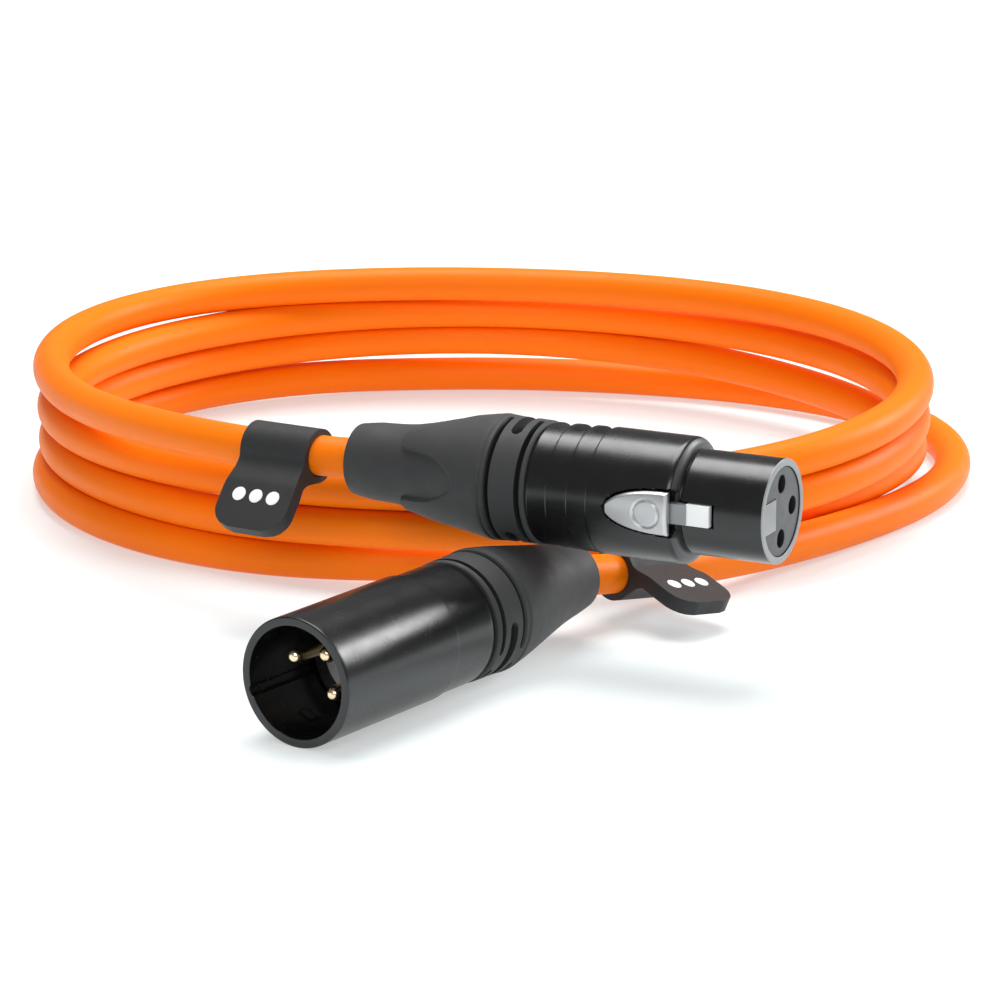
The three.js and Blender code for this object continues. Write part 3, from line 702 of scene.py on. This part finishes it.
def extrude_outline(pts, z0, z1, bevel=0.15, seg=3):
    bm = bmesh.new()
    vs = [bm.verts.new((x, y, z0)) for x, y in pts]
    face = bm.faces.new(vs)
    top = bmesh.ops.extrude_face_region(bm, geom=[face])
    bmesh.ops.translate(bm, vec=(0, 0, z1 - z0), verts=[g for g in top["geom"] if isinstance(g, bmesh.types.BMVert)])
    bmesh.ops.recalc_face_normals(bm, faces=bm.faces)
    if bevel:
        rim = [e for e in bm.edges if abs(e.verts[0].co.z - e.verts[1].co.z) < 1e-6]
        bmesh.ops.bevel(bm, geom=rim, offset=bevel, segments=seg, profile=0.6, affect="EDGES")
    bmesh.ops.triangulate(bm, faces=[q for q in bm.faces if len(q.verts) > 4])
    bm.verts.index_update()
    out = [tuple(q.co) for q in bm.verts], [[q.index for q in w.verts] for w in bm.faces]
    bm.free()
    return out


# Key of the shell, showing on the nose's face
v, f = extrude_outline([(2.4, -2.32), (6.95, -2.32), (6.95, 2.32), (2.4, 2.32)], 0.03, 1.5, 0.07)
build("female_key", v, f, FEM, mats=["face_grey"], sharp=30)

# Latch: crowned thumb plate with an engraved ring, neck and hook
st = np.concatenate([np.linspace(14.2, 14.5, 8), np.linspace(14.6, 23.6, 110), np.linspace(23.65, 24.2, 16)])
NJ = 101
lv, rows = [], []
for s_ in st:
    hw = float(latch_outline(s_))
    row = []
    for j in range(NJ):
        y = -hw + 2 * hw * j / (NJ - 1)
        edge = min(hw - abs(y), s_ - 14.2, (24.2 - s_) * 0.7 + 0.0)
        top = 10.1 - 0.036 * y * y
        top -= 0.5 * (1 - min(1.0, max(0.0, edge) / 0.42)) ** 2
        q = math.hypot(y + 0.08, s_ - 17.45)
        top -= 0.22 * math.exp(-(((q - 2.05) / 0.13) ** 2))
        row.append(len(lv))
        lv.append((top, y, s_))
    rows.append(row)
base = len(lv)
lf = []
for a, b in zip(rows[:-1], rows[1:]):
    for j in range(NJ - 1):
        lf.append((a[j], a[j + 1], b[j + 1], b[j]))
low = []
for s_ in st:
    hw = float(latch_outline(s_))
    row = []
    for j in range(NJ):
        y = -hw + 2 * hw * j / (NJ - 1)
        row.append(len(lv))
        lv.append((8.7, y, s_))
    low.append(row)
for a, b in zip(low[:-1], low[1:]):
    for j in range(NJ - 1):
        lf.append((a[j], b[j], b[j + 1], a[j + 1]))
for i in range(len(st) - 1):
    for j, flip in ((0, 0), (NJ - 1, 1)):
        q = (rows[i][j], rows[i + 1][j], low[i + 1][j], low[i][j])
        lf.append(q if flip else q[::-1])
for i in (0, len(st) - 1):
    for j in range(NJ - 1):
        lf.append((rows[i][j], rows[i][j + 1], low[i][j + 1], low[i][j]))
latch = build("female_latch_plate", lv, lf, FEM, mats=["bright_metal"], sharp=40, body="latch", stands_for="female_latch")


def block(name, x0, x1, y0, y1, z0, z1, mat, body, bevel=0.15, frame_m=FEM):
    v, f = extrude_outline([(x0, y0), (x1, y0), (x1, y1), (x0, y1)], z0, z1, bevel)
    return build(name, v, f, frame_m, mats=[mat], sharp=30, body=body)


# the neck gets the darker copy of the latch metal: painted shade
neck = block("female_latch_neck", 7.1, 8.45, -1.5, 1.5, 11.7, 14.6, "latch_neck_painted_shade", "latch", 0.1)
# the hook is painted near-white: painted highlight on the latch metal
hook = block("female_latch_hook", 7.05, 8.2, -1.56, 1.56, 8.2, 11.9, "latch_hook_painted_highlight", "latch", 0.07)


# ---------------------------------------------------------------- clips
def clip(which, at, turn, rise, fall, body):
    t = Vector((math.cos(rad(turn)) * math.cos(rad(rise)), math.sin(rad(turn)) * math.cos(rad(rise)), math.sin(rad(rise))))
    out = Vector((t.y, -t.x, 0)).normalized()
    up = out.cross(t)
    if up.z < 0:
        up = -up
    h = out * math.cos(rad(fall)) - up * math.sin(rad(fall))
    n = out * math.sin(rad(fall)) + up * math.cos(rad(fall))
    z = h.cross(n)
    m = Matrix.Identity(4)
    for i, a in enumerate((h, n, z)):
        for k in range(3):
            m[k][i] = a[k]
    for k in range(3):
        m[k][3] = at[k]
    # Section across the cable, in (h, n): a band round the cable whose front end flares out into the tag
    R, r, W, T, L, face = 4.25, 3.2, 12.0, 2.3, 15.2, 3.5

    def arc(cx, cy, rr, a0, a1, k):
        return [(cx + rr * math.cos(rad(a0 + (a1 - a0) * i / k)), cy + rr * math.sin(rad(a0 + (a1 - a0) * i / k))) for i in range(k + 1)]

    def bridge(p0, d0, p1, d1, k):
        p0, d0, p1, d1 = map(np.array, (p0, d0, p1, d1))
        out = []
        for i in range(1, k):
            q = i / k
            out.append(tuple((1 - q) ** 3 * p0 + 3 * q * (1 - q) ** 2 * (p0 + d0) + 3 * q * q * (1 - q) * (p1 - d1) + q**3 * p1))
        return out

    # round the band from where the tag's face leaves it, over the top and back below the cable
    band = arc(0, 0, R, 52, 318, 64)
    a1, a0 = rad(52), rad(318)
    start, end = band[0], band[-1]
    lip = bridge((7.6, face), (-1.5, 0), start, (-math.sin(a1) * 1.4, math.cos(a1) * 1.4), 14)
    back = bridge(end, (-math.sin(a0) * 1.2, math.cos(a0) * 1.2), (6.9, face - T), (1.4, 0), 14)
    outer = [(x, face) for x in (L, L - 0.5, L - 1.2)] + [(x, face) for x in np.linspace(L - 2.0, 7.6, 12)] + lip + band + back
    outer += [(x, face - T) for x in np.linspace(6.9, L - 1.0, 12)] + [(L - 0.4, face - T), (L, face - T)]
    bm = bmesh.new()
    hole = [(r * math.cos(-a), r * math.sin(-a)) for a in np.linspace(0, 2 * math.pi, 48, endpoint=False)]
    edges = []
    for lp in (outer, hole):
        vs = [bm.verts.new((x, y, 0)) for x, y in lp]
        edges += [bm.edges.new((vs[k], vs[(k + 1) % len(vs)])) for k in range(len(vs))]
    bmesh.ops.triangle_fill(bm, use_beauty=True, use_dissolve=False, edges=edges)
    flat = [tuple(q.co) for q in bm.verts]
    bm.verts.index_update()
    tri = [[q.index for q in w.verts] for w in bm.faces]
    bnd = [(e.verts[0].index, e.verts[1].index) for e in bm.edges if len(e.link_faces) == 1]
    bm.free()
    zs = np.linspace(-1, 1, 41)
    verts, faces = [], []
    nf = len(flat)

    def half(x):
        w = W / 2
        if x > 4:
            k = min(1, (x - 4) / 5)
            w += 0.45 * k * k * (3 - 2 * k)
        q = 3.6
        if x > L - q:
            w = w - q + math.sqrt(max(q * q - (x - (L - q)) ** 2, 0.0))
        return max(w, 0.3)

    for s_ in zs:
        for x, y, _ in flat:
            hw = half(x)
            # the long edges are eased by the bevel modifier below; e is not used
            e = 0.45
            zz = s_ * hw
            verts.append((x, y, zz))
    for lay in range(len(zs) - 1):
        for a, b in bnd:
            faces.append((lay * nf + a, lay * nf + b, (lay + 1) * nf + b, (lay + 1) * nf + a))
    for tr in tri:
        faces.append(tuple(tr))
        faces.append(tuple(q + (len(zs) - 1) * nf for q in tr[::-1]))
    o = build(f"clip_{which}_strap", verts, faces, m, mats=["clip_rubber"], sharp=50, body=body, stands_for=f"clip_{which}")
    bev = o.modifiers.new("bevel", "BEVEL")
    bev.width = 0.00035
    bev.segments = 3
    bev.limit_method = "ANGLE"
    bev.angle_limit = rad(50)
    bev.harden_normals = False
    dots = []
    for k in (-1, 0, 1):
        v, f, mi = revolve([(0, -0.1), (1.15, -0.1, 0.02), (1.15, 0.06, 0.05), (0, 0.08)], n=48)
        a = np.array(v)
        a = np.stack([a[:, 0] + 9.6, a[:, 2] + face, a[:, 1] + k * 3.1], 1)
        dots.append(build(f"clip_{which}_print_{k + 2}", a, f, m, mats=["white_print"], sharp=50, body=body, stands_for=f"clip_{which}_dot_{k + 2}"))
    return [o] + dots


clip_f = clip("female", (10.152, -57.397, 26.53), 4.5, 0.4, 50, "clip_female_body")
clip_m = clip("male", (54.092, -25.111, 7.14), 80.3, -8.2, 19, "clip_male_body")

# ---------------------------------------------------------------- studio
floor_me = bpy.data.meshes.new("floor")
floor_me.from_pydata([(-6, -6, 0), (6, -6, 0), (6, 6, 0), (-6, 6, 0)], [], [(0, 1, 2, 3)])
floor = bpy.data.objects.new("floor", floor_me)
scene.collection.objects.link(floor)
floor_mat = finish_material("floor_white", (0.505, 0.560, 0.565), (0.515, 0.570, 0.575), (0.8, 0.9), tone_scale=3, grain_scale=200, grain=0.0, specular=0.1)
for n in floor_mat.node_tree.nodes:
    if n.type == "BSDF_PRINCIPLED":
        n.inputs["Emission Color"].default_value = (1, 1, 1, 1)
        n.inputs["Emission Strength"].default_value = 0.44
floor_me.materials.append(floor_mat)

world = bpy.data.worlds.new("studio")
scene.world = world
world.use_nodes = True
bg = world.node_tree.nodes["Background"]
bg.inputs["Color"].default_value = (1.0, 1.0, 1.0, 1)
bg.inputs["Strength"].default_value = 0.22

cam_right = Vector((0.81259, 0.58284, 0))
cam_fwd = Vector((-0.58284, 0.81259, 0))


def lamp(name, right, fwd, up, size, power, target=(0, 0, 0.015), size_y=None, colour=(1, 1, 1)):
    d = bpy.data.lights.new(name, "AREA")
    d.shape = "RECTANGLE"
    d.size = size
    d.size_y = size_y or size
    d.energy = power
    d.color = colour
    o = bpy.data.objects.new(name, d)
    scene.collection.objects.link(o)
    p = cam_right * right + cam_fwd * fwd + Vector((0, 0, up))
    o.location = p
    o.rotation_euler = (Vector(target) - p).to_track_quat("-Z", "Y").to_euler()
    return o


lamp("key_top", 0.0, 0.25, 1.05, 0.8, 15.0, size_y=0.8)
lamp("back_right", 0.957, 0.433, 0.47, 0.45, 8.0, size_y=0.40)
lamp("fill_front", -0.15, -1.15, 0.65, 0.8, 5.5, size_y=0.5)
